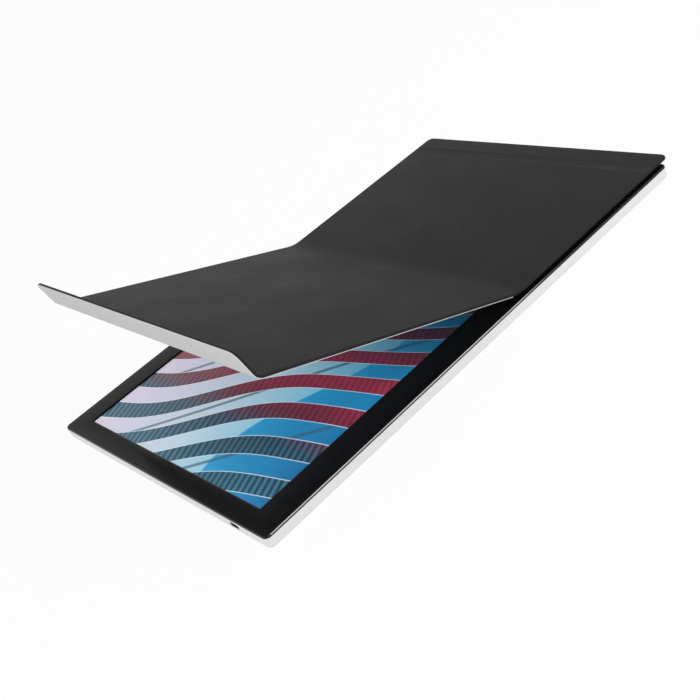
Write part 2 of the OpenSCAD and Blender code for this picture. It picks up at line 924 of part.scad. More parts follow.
rear_shell();
front_bezel();
bezel_tape();
front_polariser();
lcd_cell();
rear_polariser();
prism_films();
diffuser_film();
light_guide();
reflector_film();
led_strip();
panel_tray();
driver_board();
driver_flexes();
panel_cable();
main_board();
board_chips();
shield_can();
usb_c_receptacle();
usb_c_tongue();
tact_switch();
switch_plunger();
power_button();
board_screws();
panel_brackets();
bracket_screws();
closing_magnets();
keeper_plates();
spine_skin();
spine_board();
rear_board();
spine_lining();
strip_magnets();
strip_skin();
strip_board();
strip_lining();
inner_skin();
inner_board();
inner_lining();
outer_skin();
outer_board();
outer_lining();
flap_skin();
flap_board();
flap_lining();
flap_magnets();
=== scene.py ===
"""Portable monitor lying on its back under its half-open folding cover.

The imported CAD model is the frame. This script models the outer pieces that need
rounder edges or that bend at a crease, gives every CAD node its finish, and sets up
the camera and a plain studio.
"""
import json
import logging
import math
from dataclasses import dataclass, replace
from enum import Enum
from typing import Any, Callable, Sequence

import bmesh
import bpy
from mathutils import Matrix, Quaternion, Vector


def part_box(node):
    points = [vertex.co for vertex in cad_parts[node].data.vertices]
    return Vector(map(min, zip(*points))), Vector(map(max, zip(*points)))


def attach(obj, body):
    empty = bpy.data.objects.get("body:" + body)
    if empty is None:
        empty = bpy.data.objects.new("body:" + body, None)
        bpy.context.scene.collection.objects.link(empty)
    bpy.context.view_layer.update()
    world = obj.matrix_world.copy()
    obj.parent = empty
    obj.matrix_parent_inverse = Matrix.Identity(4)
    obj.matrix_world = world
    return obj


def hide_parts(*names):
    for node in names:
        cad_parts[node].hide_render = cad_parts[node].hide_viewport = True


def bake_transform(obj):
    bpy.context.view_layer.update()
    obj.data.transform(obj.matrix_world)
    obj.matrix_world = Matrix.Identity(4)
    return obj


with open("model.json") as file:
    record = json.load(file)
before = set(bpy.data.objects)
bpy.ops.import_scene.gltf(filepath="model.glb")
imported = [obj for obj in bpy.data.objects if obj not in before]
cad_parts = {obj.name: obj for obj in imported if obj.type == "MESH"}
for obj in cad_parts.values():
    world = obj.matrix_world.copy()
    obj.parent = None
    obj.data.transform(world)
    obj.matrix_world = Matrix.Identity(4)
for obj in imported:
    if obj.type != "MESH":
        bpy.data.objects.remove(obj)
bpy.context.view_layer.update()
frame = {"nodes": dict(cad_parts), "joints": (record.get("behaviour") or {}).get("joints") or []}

MM = 0.001
TOUCH = 0.02 * MM  # two places closer than this are the same place
WELD = TOUCH / 20  # vertices closer than this are merged
FLAT_DEGREES = 0.3  # faces that meet at less are one flat face
SHARP_DEGREES = 30.0  # faces that meet at more have a sharp edge between them
SMOOTH_DEGREES = 32.0  # faces that meet at less are shaded as one
LOG = logging.getLogger("portable_monitor")

Object = bpy.types.Object
Tree = bpy.types.ShaderNodeTree
Socket = bpy.types.NodeSocket
Node = bpy.types.ShaderNode
Material = bpy.types.Material
Edge = bmesh.types.BMEdge
Test = Callable[[Any], bool]
Pair = tuple[float, float]
Triple = tuple[float, float, float]


# Modelling by hand, in code


class Part(Enum):
    """The mesh parts that can be picked in edit mode."""

    VERTEX = "VERT"
    EDGE = "EDGE"
    FACE = "FACE"


def only(piece: Object) -> None:
    """Makes a piece the one selected and active object.

    Args:
        piece: the object.
    """
    bpy.ops.object.select_all(action="DESELECT")
    piece.select_set(True)
    bpy.context.view_layer.objects.active = piece


def pick(piece: Object, part: Part, test: Test) -> int:
    """Opens piece in edit mode with the parts selected that pass test.

    Args:
        piece: the mesh object to open.
        part: whether vertices, edges or faces are picked.
        test: gets each part and says whether it is wanted.

    Returns:
        The number of parts selected.
    """
    only(piece)
    bpy.ops.object.mode_set(mode="EDIT")
    bpy.ops.mesh.select_mode(type=part.value)
    mesh = bmesh.from_edit_mesh(piece.data)
    mesh.normal_update()
    for item in (*mesh.verts, *mesh.edges, *mesh.faces):
        item.select_set(False)
    parts = {Part.VERTEX: mesh.verts, Part.EDGE: mesh.edges,
             Part.FACE: mesh.faces}[part]
    wanted = [item for item in parts if test(item)]
    for item in wanted:
        item.select_set(True)
    mesh.select_flush_mode()
    bmesh.update_edit_mesh(piece.data)
    return len(wanted)


def close() -> None:
    """Goes back to object mode."""
    bpy.ops.object.mode_set(mode="OBJECT")

def every(_: Any) -> bool:
    """Passes any part."""
    return True


def placed(name: str, data: Any) -> Object:
    """Puts a mesh, a camera or a lamp into the scene.

    Args:
        name: the new object's name.
        data: what the object holds.

    Returns:
        The new object.
    """
    thing = bpy.data.objects.new(name, data)
    bpy.context.scene.collection.objects.link(thing)
    return thing


def duplicate(piece: Object, name: str) -> Object:
    """Copies a piece and its mesh."""
    return placed(name, piece.data.copy())


def block(name: str, low: Sequence[float], high: Sequence[float]) -> Object:
    """Adds a box to be shaped, with its place in its mesh.

    Args:
        name: the new object's name.
        low: its lowest corner, in metres.
        high: its highest corner, in metres.

    Returns:
        The new object.
    """
    a, b = Vector(low), Vector(high)
    bpy.ops.object.select_all(action="DESELECT")
    bpy.ops.mesh.primitive_cube_add(size=1, location=(a + b) / 2, scale=b - a)
    piece = bpy.context.object
    piece.name = name
    bpy.ops.object.transform_apply(location=True, rotation=True, scale=True)
    return piece


def node_copy(node: str, name: str) -> Object:
    """Copies a CAD node's mesh into a new object, merged and with its flat faces whole.

    Args:
        node: the CAD node.
        name: the new object's name.

    Returns:
        The new object.
    """
    piece = duplicate(frame["nodes"][node], name)
    piece.data.materials.clear()
    pick(piece, Part.VERTEX, every)
    bpy.ops.mesh.remove_doubles(threshold=WELD)
    bpy.ops.mesh.dissolve_limited(angle_limit=math.radians(FLAT_DEGREES))
    close()
    return piece


def bevel(piece: Object, test: Test, width: float, segments: int) -> None:
    """Rounds the edges of piece that pass test.

    Args:
        piece: the mesh object.
        test: gets each edge and says whether it is rounded.
        width: the radius in metres.
        segments: the number of faces across the round.
    """
    if pick(piece, Part.EDGE, test):
        bpy.ops.mesh.bevel(offset=width, segments=segments, profile=0.5, affect="EDGES")
    close()


def bisect(piece: Object, place: Vector, normal: Vector, drop: bool = False) -> None:
    """Cuts a line of edges round piece where a plane crosses it.

    Args:
        piece: the mesh object.
        place: a point on the plane.
        normal: the plane's normal.
        drop: whether what lies beyond the plane goes and the cut is closed.
    """
    pick(piece, Part.VERTEX, every)
    bpy.ops.mesh.bisect(plane_co=place, plane_no=normal, clear_outer=drop,
                        use_fill=drop)
    close()


def swing(piece: Object, test: Test, centre: Vector, degrees: float) -> None:
    """Turns the vertices of piece that pass test about +Y through centre.

    Args:
        piece: the mesh object.
        test: gets each vertex and says whether it turns.
        centre: a point on the axis.
        degrees: the angle; a positive one lifts what lies towards -X.
    """
    if pick(piece, Part.VERTEX, test) and degrees:
        bpy.ops.transform.rotate(value=-math.radians(degrees), orient_axis="Y",
                                 orient_type="GLOBAL", center_override=centre)
    close()


def shift(piece: Object, test: Test, offset: Sequence[float]) -> None:
    """Moves the vertices of piece that pass test.

    Args:
        piece: the mesh object.
        test: gets each vertex and says whether it moves.
        offset: how far, in metres.
    """
    if pick(piece, Part.VERTEX, test):
        bpy.ops.transform.translate(value=offset)
    close()


def carve(piece: Object, cutter: Object) -> None:
    """Takes one piece's space out of another.

    Args:
        piece: the piece that is cut.
        cutter: the piece whose space goes; it is removed.
    """
    only(piece)
    modifier = piece.modifiers.new("carve", "BOOLEAN")
    modifier.object = cutter
    modifier.operation = "DIFFERENCE"
    modifier.solver = "EXACT"
    bpy.ops.object.modifier_apply(modifier=modifier.name)
    bpy.data.objects.remove(cutter)


def smooth(piece: Object, degrees: float = SMOOTH_DEGREES) -> None:
    """Shades piece smooth where its faces meet at less than an angle."""
    only(piece)
    bpy.ops.object.shade_smooth_by_angle(angle=math.radians(degrees))


def ends(edge: Edge) -> tuple[Vector, Vector]:
    """The places of an edge's two ends."""
    return edge.verts[0].co, edge.verts[1].co


def run(edge: Edge) -> tuple[float, ...]:
    """How far an edge reaches along X, Y and Z."""
    return tuple(abs(p - q) for p, q in zip(*ends(edge)))


def sharp(edge: Edge) -> bool:
    """Whether two faces meet at the edge at a clear angle."""
    return (len(edge.link_faces) == 2
            and edge.calc_face_angle() > math.radians(SHARP_DEGREES))


def mount(piece: Object, finish: Material, body: str | None, slot: str,
          *nodes: str) -> Object:
    """Finishes a piece: its material, its body and the nodes it stands for, which are hidden.

    Args:
        piece: the finished mesh object.
        finish: its material.
        body: the body it rides on, or None for a crease band between two, which is left on no
            body.
        slot: the record's material slot; not used.
        nodes: the CAD nodes that it replaces.

    Returns:
        The piece.
    """
    piece.data.materials.clear()
    piece.data.materials.append(finish)
    if body:
        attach(piece, body)
    if nodes:
        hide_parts(*nodes)
    LOG.info("%s: %d faces, on %s", piece.name, len(piece.data.polygons),
             body or "two bodies")
    return piece


def paint(node: str, material: Material) -> None:
    """Gives a CAD node that stays its material.

    Args:
        node: the CAD node.
        material: what it gets.
    """
    for material_slot in frame["nodes"][node].material_slots:
        material_slot.material = material


# Finishes

# A colour Mix node's factor, its lower and upper colour, and its output.
FACTOR, UNDER, OVER, MIXED = 0, 6, 7, 2
# The pitch of a Wave texture's bands at scale 1, rounded from pi / 10.
WAVE_PITCH = 0.32
# Handling marks: clouds per metre, and where they turn from smooth to rough.
MARKS_SCALE, MARKS_LOW, MARKS_HIGH = 25.0, 0.3, 0.7


def linear(hex_colour: str) -> tuple[float, float, float, float]:
    """Turns an sRGB colour into a linear one.

    Args:
        hex_colour: six digits, such as C8C8CA.

    Returns:
        Red, green, blue and alpha.
    """
    channels = [int(hex_colour[i:i + 2], 16) / 255 for i in (0, 2, 4)]
    return (*(c / 12.92 if c <= 0.04045 else ((c + 0.055) / 1.055) ** 2.4
              for c in channels), 1.0)


def add(tree: Tree, kind: str | Node, settings: dict | None = None,
        links: dict | None = None, stops: Sequence[tuple[float, str]] = ()) -> Node:
    """Adds one node, or sets one that is there.

    Args:
        tree: the node tree that gets it.
        kind: the node's type without its ShaderNode, or the node that is there.
        settings: values of its inputs, by name or number, or of its properties.
        links: the output socket that feeds each input, by name or number.
        stops: for a ramp, its places from 0 to 1 with their hex colours.

    Returns:
        The node.
    """
    node = tree.nodes.new("ShaderNode" + kind) if isinstance(kind, str) else kind
    for key, value in (settings or {}).items():
        if isinstance(key, int) or key in node.inputs:
            node.inputs[key].default_value = value
        else:
            setattr(node, key, value)
    for key, output in (links or {}).items():
        tree.links.new(output, node.inputs[key])
    if stops:
        first, *between, last = stops
        ramp = node.color_ramp.elements
        for element, (place, colour) in ((ramp[0], first), (ramp[1], last)):
            element.position, element.color = place, linear(colour)
        for place, colour in between:
            ramp.new(place).color = linear(colour)
    return node


def new_material(name: str) -> tuple[Material, Tree, Node]:
    """Makes a material with nodes.

    Args:
        name: the material's name.

    Returns:
        The material, its node tree and its Principled shader.
    """
    material = bpy.data.materials.new(name)
    material.use_nodes = True
    return material, material.node_tree, material.node_tree.nodes["Principled BSDF"]


@dataclass(frozen=True)
class Grain:
    """How a surface was made, as the texture node that draws it.

    kind is the node's type, output the number of the output that draws the grain, and
    stretch how much finer than the grain's size it is along each axis.
    """

    kind: str
    output: int
    stretch: Triple = (1.0, 1.0, 1.0)
    settings: tuple[tuple[Any, Any], ...] = ()


class Pattern(Enum):
    """The surfaces that the finishes are made with."""

    MOULDED = Grain("TexNoise", 0, settings=(("Detail", 3.0), ("Roughness", 0.6)))
    LEATHER = Grain("TexVoronoi", 0, (1.0, 0.8, 1.0),
                    (("feature", "SMOOTH_F1"), ("Smoothness", 0.6)))
    NAPPED = Grain("TexNoise", 0, (1.0, 0.45, 1.0),
                   (("Detail", 6.0), ("Roughness", 0.75)))
    BRUSHED = Grain("TexNoise", 0, (0.03, 1.0, 1.0), (("Detail", 4.0),))
    MOTTLED = Grain("TexNoise", 0, settings=(("Detail", 5.0), ("Distortion", 0.8)))
    TRACED = Grain("TexBrick", 1, (1.0, 1.0, 0.0),
                   (("Mortar Size", 0.09), ("Brick Width", 2.7), ("Row Height", 0.55)))
    RIBBED = Grain("TexWave", 1, (0.0, WAVE_PITCH, 0.0), (("bands_direction", "Y"),))
    RIBBED_ACROSS = Grain("TexWave", 1, (WAVE_PITCH, 0.0, 0.0),
                          (("bands_direction", "X"),))
    PULPED = Grain("TexVoronoi", 0, (1.0, 0.3, 1.0), (("Randomness", 1.0),))


@dataclass(frozen=True)
class Finish:
    """One real material: two tones, its shine, and a grain of a real size.

    The grain size and depth are in millimetres. Roughness runs from smooth to rough
    over a cloud of handling marks about 40 mm wide.
    """

    name: str
    tone: str
    second_tone: str
    rough: Pair
    pattern: Pattern = Pattern.MOULDED
    grain: float = 0.5
    depth: float = 0.02
    bump: float = 0.3
    metal: float = 0.0
    ior: float = 1.5
    extra: tuple[tuple[str, Any], ...] = ()

    def build(self) -> Material:
        """Makes the material.

        Returns:
            The material.
        """
        material, tree, shader = new_material(self.name)
        grain: Grain = self.pattern.value
        place = add(tree, "TexCoord").outputs["Object"]
        scale = Vector(grain.stretch) / (self.grain * MM)
        sized = add(tree, "Mapping", {"Scale": scale}, {"Vector": place})
        drawn = add(tree, grain.kind, {**dict(grain.settings), "Scale": 1.0},
                    {"Vector": sized.outputs[0]}).outputs[grain.output]
        tone = add(tree, "Mix",
                   {"data_type": "RGBA", UNDER: linear(self.tone),
                    OVER: linear(self.second_tone)}, {FACTOR: drawn})
        marks = add(tree, "TexNoise", {"Scale": MARKS_SCALE, "Detail": 3.0},
                    {"Vector": place})
        rough = add(tree, "MapRange",
                    {"From Min": MARKS_LOW, "From Max": MARKS_HIGH,
                     "To Min": self.rough[0], "To Max": self.rough[1]},
                    {"Value": marks.outputs[0]})
        bump = add(tree, "Bump", {"Strength": self.bump, "Distance": self.depth * MM},
                   {"Height": drawn})
        add(tree, shader, {"Metallic": self.metal, **dict(self.extra)},
            {"Base Color": tone.outputs[MIXED], "Roughness": rough.outputs[0],
             "Normal": bump.outputs[0]})
        if not self.metal:
            shader.inputs["IOR"].default_value = self.ior
        return material


# Embossed polyurethane leather: dark grey and dull, with a pebbled grain.
LEATHER = Finish("polyurethane_leather", "1F1F20", "2D2D2E", (0.58, 0.66),
                 Pattern.LEATHER, 0.8, 0.12, 0.8, ior=1.48,
                 extra=(("Specular IOR Level", 0.1),))
# Brushed microfibre: pale grey, no shine, a fine nap.
MICROFIBRE = Finish("microfibre_lining", "C8C8C9", "DDDDDE", (0.9, 0.98),
                    Pattern.NAPPED, 0.35, 0.12, 0.8, ior=1.4)
# Moulded and painted ABS: silver-white, satin, with a fine spark-eroded grain.
PAINTED_ABS = Finish("silver_white_abs", "E4E4E5", "E9E9EA", (0.38, 0.48),
                     Pattern.MOULDED, 0.3, 0.01, 0.25, ior=1.53)
# Moulded black ABS with a satin face that mirrors the sky faintly.
BLACK_ABS = Finish("satin_black_abs", "030303", "040404", (0.18, 0.22), Pattern.MOULDED,
                   0.25, 0.004, 0.15, ior=1.46, extra=(("Specular IOR Level", 0.13),))
# The bezel's cut chamfer, polished: the lamp shows in it as a thin bright line.
POLISHED_ABS = Finish("polished_black_chamfer", "060607", "070708", (0.1, 0.14),
                      Pattern.MOULDED, 0.25, 0.002, 0.1, ior=1.5)
# Black acrylic foam tape: dull and soft.
FOAM_TAPE = Finish("black_foam_tape", "0C0C0C", "161616", (0.85, 0.95), Pattern.MOULDED,
                   0.2, 0.03, 0.5)
# Nickel-plated steel of a connector shell: bright and smooth.
PLATED_STEEL = Finish("nickel_plated_steel", "C9C8C4", "BDBCB8", (0.2, 0.3),
                      Pattern.MOTTLED, 1.2, 0.004, 0.1, metal=1.0)
# Glass-filled nylon: dead black, slightly grainy.
NYLON = Finish("glass_filled_nylon", "101011", "1C1C1D", (0.55, 0.7), Pattern.MOULDED,
               0.2, 0.01, 0.3, ior=1.53)
# Soda-lime cell glass with its black matrix behind: dark and clear.
CELL_GLASS = Finish("cell_glass", "11161A", "161C21", (0.04, 0.08), Pattern.MOTTLED,
                    6.0, 0.001, 0.05, ior=1.52)
# Prism film: silvery, with ribs too fine to see, drawn at half a millimetre.
PRISM_FILM = Finish("prism_film", "C5CACD", "DDE1E3", (0.2, 0.3), Pattern.RIBBED,
                    0.5, 0.02, 0.4, ior=1.58)
# Polyester diffuser and reflector films: milk white.
WHITE_FILM = Finish("white_polyester_film", "EDEDEB", "F3F3F1", (0.5, 0.6),
                    Pattern.MOULDED, 0.3, 0.005, 0.1, ior=1.57)
# Cast acrylic light guide, with printed dots about 2 mm apart.
ACRYLIC = Finish("dotted_acrylic", "DCE6EA", "F4F6F6", (0.05, 0.1), Pattern.LEATHER,
                 2.0, 0.01, 0.2, ior=1.49)
# White solder mask of a lamp strip with yellow phosphor windows along it.
LAMP_STRIP = Finish("lamp_strip", "F0E27A", "F2F2EE", (0.4, 0.5), Pattern.RIBBED_ACROSS,
                    7.0, 0.01, 0.1)
# Rolled aluminium tray: pale metal with fine lines from the rollers.
ALUMINIUM = Finish("rolled_aluminium", "C3C5C7", "CFD1D2", (0.35, 0.45),
                   Pattern.BRUSHED, 0.6, 0.01, 0.2, metal=1.0)
# Green solder mask over copper lines about a millimetre apart.
SOLDER_MASK = Finish("green_solder_mask", "1C5A38", "13442A", (0.25, 0.35),
                     Pattern.TRACED, 2.0, 0.02, 0.4, ior=1.55)
# Polyimide flex film: amber, with lines along it.
POLYIMIDE = Finish("polyimide_flex", "9A5A1E", "B8752C", (0.25, 0.35),
                   Pattern.RIBBED_ACROSS, 0.8, 0.01, 0.3, ior=1.6)
# Flat flexible cable: white jacket over tinned wires at a 1 mm pitch.
FLAT_CABLE = Finish("flat_cable", "E6E6E2", "C9CBCC", (0.4, 0.5), Pattern.RIBBED_ACROSS,
                    1.0, 0.05, 0.5)
# Epoxy chip packages: dark grey, dull.
EPOXY = Finish("epoxy_package", "1B1B1C", "232324", (0.6, 0.75), Pattern.MOULDED,
               0.15, 0.01, 0.3, ior=1.55)
# Zinc-plated screw steel: greyish and slightly mottled.
SCREW_STEEL = Finish("zinc_plated_steel", "B4B5B5", "A5A6A8", (0.3, 0.4),
                     Pattern.MOTTLED, 0.8, 0.005, 0.2, metal=1.0)
# Nickel-plated neodymium magnets: bright with faint pits.
MAGNET = Finish("nickel_plated_magnet", "BEBDB9", "B0AFAB", (0.25, 0.35),
                Pattern.MOTTLED, 2.0, 0.01, 0.2, metal=1.0)
# Pressed grey board: brownish grey with paper fibres.
GREY_BOARD = Finish("pressed_grey_board", "8A8178", "A1988D", (0.85, 0.95),
                    Pattern.PULPED, 1.5, 0.05, 0.5)

NODE_FINISHES: dict[Finish, tuple[str, ...]] = {
    FOAM_TAPE: ("bezel_tape",),
    CELL_GLASS: ("lcd_cell", "rear_polariser"),
    PRISM_FILM: ("prism_films",),
    WHITE_FILM: ("diffuser_film", "reflector_film"),
    ACRYLIC: ("light_guide",),
    LAMP_STRIP: ("led_strip",),
    ALUMINIUM: ("panel_tray", "panel_brackets"),
    SOLDER_MASK: ("driver_board", "main_board"),
    POLYIMIDE: ("driver_flexes",),
    FLAT_CABLE: ("panel_cable",),
    EPOXY: ("board_chips",),
    PLATED_STEEL: ("shield_can", "usb_c_receptacle"),
    NYLON: ("usb_c_tongue", "tact_switch", "switch_plunger"),
    SCREW_STEEL: ("board_screws", "bracket_screws", "keeper_plates"),
    MAGNET: ("closing_magnets", "strip_magnets", "flap_magnets"),
}


@dataclass(frozen=True)
class Wallpaper:
    """The lit picture: flowing ribbons over a sky that deepens towards the bottom.

    Lengths and pitches are in millimetres, and centre is the picture's middle. The hills,
    the painted shade of the cover and the places of the colours are in shares of the picture's
    width.
    """

    width: float = 344.2
    height: float = 193.6
    centre: Pair = (0.0, 2.4)
    hill_level: float = 0.14
    hill_height: float = 0.06
    hill_waves: float = 9.0
    hill_phase: float = 0.9
    shore: float = 0.004
    line_pitch: float = 24.0
    diagonal: float = 1.7
    ribbon_pitch: float = 28.0
    ribbon_lean: float = -24.0
    lattice_pitch: float = 4.5
    # Painted shade of the cover: where it begins and ends across the picture, and how dark it
    # gets.
    cover_shade_from: float = 0.26
    cover_shade_to: float = 0.56
    cover_shade_depth: float = 0.85
    glow: float = 0.34

    def build(self) -> Material:
        """Makes the material of the screen's face.

        Returns:
            The material.
        """
        material, tree, shader = new_material("lit_screen_face")
        place = add(tree, "TexCoord").outputs["Object"]
        # One unit is the picture's width, and its lower left corner is at the origin.
        tall = self.height / self.width
        corner = Vector((0.5, tall / 2, 0)) - Vector((*self.centre, 0)) / self.width
        picture = add(tree, "Mapping",
                      {"Location": corner, "Scale": (1 / (self.width * MM),) * 3},
                      {"Vector": place}).outputs[0]
        axes = add(tree, "SeparateXYZ", links={0: picture}).outputs
        across, up = axes["X"], axes["Y"]
        colour = self.landscape(tree, picture, across, up)
        colour = self.ribbons(tree, picture, across, colour)
        # Painted shade: towards the crease, where the cover shades the screen, the picture
        # darkens to a deep teal.
        painted_shade = add(tree, "MapRange",
                   {"From Min": self.cover_shade_from, "From Max": self.cover_shade_to,
                    "To Max": self.cover_shade_depth}, {"Value": across})
        shaded_picture = add(tree, "Mix", {"data_type": "RGBA", OVER: linear("0B1B24")},
                     {FACTOR: painted_shade.outputs[0], UNDER: colour})
        wide = add(tree, "Math", {"operation": "COMPARE", 1: 0.5, 2: 0.5}, {0: across})
        high = add(tree, "Math",
                   {"operation": "COMPARE", 1: tall / 2, 2: tall / 2}, {0: up})
        inside = add(tree, "Math", {"operation": "MULTIPLY"},
                     {0: wide.outputs[0], 1: high.outputs[0]})
        colour = add(tree, "Mix", {"data_type": "RGBA", UNDER: linear("050505")},
                     {FACTOR: inside.outputs[0], OVER: shaded_picture.outputs[MIXED]}
                     ).outputs[MIXED]
        haze = add(tree, "TexNoise", {"Scale": 2600.0, "Detail": 1.0},
                   {"Vector": place})
        bump = add(tree, "Bump", {"Strength": 0.1, "Distance": 0.002 * MM},
                   {"Height": haze.outputs[0]})
        add(tree, shader,
            {"Emission Strength": self.glow, "Roughness": 0.35, "IOR": 1.49},
            {"Base Color": colour, "Emission Color": colour, "Normal": bump.outputs[0]})
        return material

    def bands(self, pitch: float) -> float:
        """The scale at which a Wave texture's bands have a pitch in millimetres."""
        return math.pi / 10 * self.width / pitch

    def landscape(self, tree: Tree, picture: Socket, across: Socket,
                  up: Socket) -> Socket:
        """Adds a pale sky over blue hills, crossed by thin slanting lines.

        Args:
            tree: the node tree that gets them.
            picture: the place in the picture.
            across: that place along the picture's width.
            up: that place along its height.

        Returns:
            The output with the colour.
        """
        sky = add(tree, "ValToRGB", links={0: up},
                  stops=((0.0, "1FA2D0"), (0.16, "86C8E0"), (0.3, "BCD2E0"),
                         (0.56, "CEC4D6")))
        swell = add(tree, "Math", {"operation": "MULTIPLY_ADD", 1: self.hill_waves,
                                   2: self.hill_phase}, {0: across})
        hills = add(tree, "Math", {"operation": "SINE"}, {0: swell.outputs[0]})
        crest = add(tree, "Math", {"operation": "MULTIPLY_ADD", 1: self.hill_height,
                                   2: self.hill_level}, {0: hills.outputs[0]})
        under = add(tree, "Math", {"operation": "SUBTRACT"},
                    {0: crest.outputs[0], 1: up}).outputs[0]
        water = add(tree, "ValToRGB", links={0: under},
                    stops=((0.0, "1798CC"), (0.2, "076394")))
        shore = add(tree, "MapRange", {"From Max": self.shore}, {"Value": under})
        ground = add(tree, "Mix", {"data_type": "RGBA"},
                     {FACTOR: shore.outputs[0], UNDER: sky.outputs[0],
                      OVER: water.outputs[0]})
        lines = add(tree, "TexWave",
                    {"Scale": self.bands(self.line_pitch) / self.diagonal,
                     "bands_direction": "DIAGONAL", "Distortion": 1.5, "Detail": 0.0,
                     "Detail Scale": 0.6}, {"Vector": picture})
        thin = add(tree, "ValToRGB", links={0: lines.outputs["Fac"]},
                   stops=((0.0, "E8E8E8"), (0.003, "E8E8E8"), (0.009, "000000")))
        return add(tree, "Mix", {"data_type": "RGBA", OVER: linear("2F5A74")},
                   {FACTOR: thin.outputs[0], UNDER: ground.outputs[MIXED]}
                   ).outputs[MIXED]

    def ribbons(self, tree: Tree, picture: Socket, across: Socket,
                below: Socket) -> Socket:
        """Adds dark, teal and crimson ribbons with a fine lattice and a bright rim.

        Args:
            tree: the node tree that gets them.
            picture: the place in the picture.
            across: that place along the picture's width.
            below: the colour that they cover.

        Returns:
            The output with the colour.
        """
        slanted = add(tree, "Mapping",
                      {"Rotation": (0, 0, math.radians(self.ribbon_lean))},
                      {"Vector": picture}).outputs[0]
        flow = add(tree, "TexWave",
                   {"Scale": self.bands(self.ribbon_pitch), "Distortion": 7.0,
                    "Detail": 0.0, "Detail Scale": 0.55},
                   {"Vector": slanted}).outputs["Fac"]
        lattice = add(tree, "TexWave",
                      {"bands_direction": "Y", "Scale": self.bands(self.lattice_pitch),
                       "Distortion": 4.0, "Detail": 0.0, "Detail Scale": 0.2},
                      {"Vector": slanted})
        deep = add(tree, "ValToRGB", links={0: across},
                   stops=((0.0, "132C40"), (0.12, "10202F"), (0.19, "4E1428"),
                          (0.3, "86203A"), (0.46, "3A1424"), (0.6, "0E1E2C")))
        light = add(tree, "ValToRGB", links={0: across},
                    stops=((0.0, "2F7690"), (0.12, "2A5F78"), (0.19, "7A2440"),
                           (0.3, "A0304C"), (0.46, "5C2A44"), (0.6, "24566C")))
        ribbon = add(tree, "Mix", {"data_type": "RGBA"},
                     {FACTOR: lattice.outputs["Fac"], UNDER: deep.outputs[0],
                      OVER: light.outputs[0]})
        ribbons = add(tree, "MapRange", {"From Min": 0.5, "From Max": 0.54},
                      {"Value": flow})
        crossed = add(tree, "Mix", {"data_type": "RGBA"},
                      {FACTOR: ribbons.outputs[0], UNDER: below,
                       OVER: ribbon.outputs[MIXED]})
        rim = add(tree, "ValToRGB", links={0: flow},
                  stops=((0.45, "000000"), (0.48, "C8C8C8"), (0.52, "C8C8C8"),
                         (0.54, "000000")))
        return add(tree, "Mix", {"data_type": "RGBA", OVER: linear("EAF3F8")},
                   {FACTOR: rim.outputs[0], UNDER: crossed.outputs[MIXED]}
                   ).outputs[MIXED]


# The case


@dataclass
class Case:
    """Rear shell, bezel, port and button: copies of the CAD solids with softened edges.

    Lengths are in millimetres. The holes are those of the CAD shell, and nothing of
    the bezel's opening lies closer to its outside than opening_inset.
    """

    shell_finish: Material
    bezel_finish: Material
    chamfer_finish: Material
    opening_break: float = 0.15
    opening_inset: float = 10.0
    chamfer_reach: float = 1.0
    chamfer_tilt: Pair = (0.3, 0.95)
    port_hole: Pair = (9.14, 3.46)
    button_hole: Pair = (6.3, 2.5)
    rim_break: float = 0.2
    rim_steps: int = 10
    cap_round: float = 0.35
    smooth_degrees: float = 20.0

    def build(self) -> None:
        """Makes the three pieces."""
        self.shell()
        self.bezel()
        self.button()

    def shell(self) -> None:
        """The rear shell, with the rims of its port and button holes broken."""
        piece = node_copy("rear_shell", "rear_case_shell")
        for inner, hole in (("usb_c_receptacle", self.port_hole),
                            ("switch_plunger", self.button_hole)):
            low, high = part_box(inner)
            carve(piece, self.rim_cutter((low + high) / 2, hole))
        smooth(piece, self.smooth_degrees)
        mount(piece, self.shell_finish, "display", "shell_plastic", "rear_shell")

    def rim_cutter(self, middle: Vector, hole: Pair) -> Object:
        """Makes a slot that narrows inwards, to break a hole's rim in the left wall.

        Args:
            middle: a point on the hole's axis.
            hole: the hole's width and height in millimetres.

        Returns:
            The slot, as a solid to cut with.
        """
        wall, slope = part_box("rear_shell")[0].x, self.rim_break * MM
        wide, high = (size / 2 * MM + 2 * slope for size in hole)
        piece = block("rim_cutter", (wall - slope, middle.y - wide, middle.z - high),
                      (wall + slope, middle.y + wide, middle.z + high))
        almost_round = high * 0.999  # a full round would make its faces meet
        bevel(piece, lambda edge: run(edge)[0] > slope, almost_round, self.rim_steps)
        pick(piece, Part.VERTEX, lambda vertex: vertex.co.x > wall)
        bpy.ops.transform.resize(value=(1, 1 - 2 * slope / wide, 1 - 2 * slope / high),
                                 center_override=(wall, middle.y, middle.z))
        close()
        return piece

    def bezel(self) -> None:
        """The bezel: its opening's inner rim softened, its outer chamfer polished."""
        piece = node_copy("front_bezel", "screen_bezel")
        low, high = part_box("front_bezel")
        inset = self.opening_inset * MM

        def opening(edge: Edge) -> bool:
            """Whether the edge runs round the opening at the top."""
            return sharp(edge) and all(
                p.z > high.z - TOUCH and low.x + inset < p.x < high.x - inset
                and low.y + inset < p.y < high.y - inset for p in ends(edge))

        bevel(piece, opening, self.opening_break * MM, 2)
        smooth(piece, self.smooth_degrees)
        mount(piece, self.bezel_finish, "display", "bezel_plastic", "front_bezel")
        piece.data.materials.append(self.chamfer_finish)
        reach = self.chamfer_reach * MM
        level, steep = self.chamfer_tilt
        for face in piece.data.polygons:
            outside = (abs(face.center.x) > high.x - reach
                       or abs(face.center.y) > high.y - reach)
            if outside and level < face.normal.z < steep:
                face.material_index = 1

    def button(self) -> None:
        """The power button, with its cap's rim rounded."""
        piece = node_copy("power_button", "power_button_cap")
        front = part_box("power_button")[0].x + TOUCH
        bevel(piece, lambda edge: sharp(edge) and all(p.x < front for p in ends(edge)),
              self.cap_round * MM, 3)
        smooth(piece)
        mount(piece, self.shell_finish, "button", "button_plastic", "power_button")


# The cover


def joint(name: str) -> dict:
    """The record's joint of that name."""
    return next(j for j in frame["joints"] if j["name"] == name)


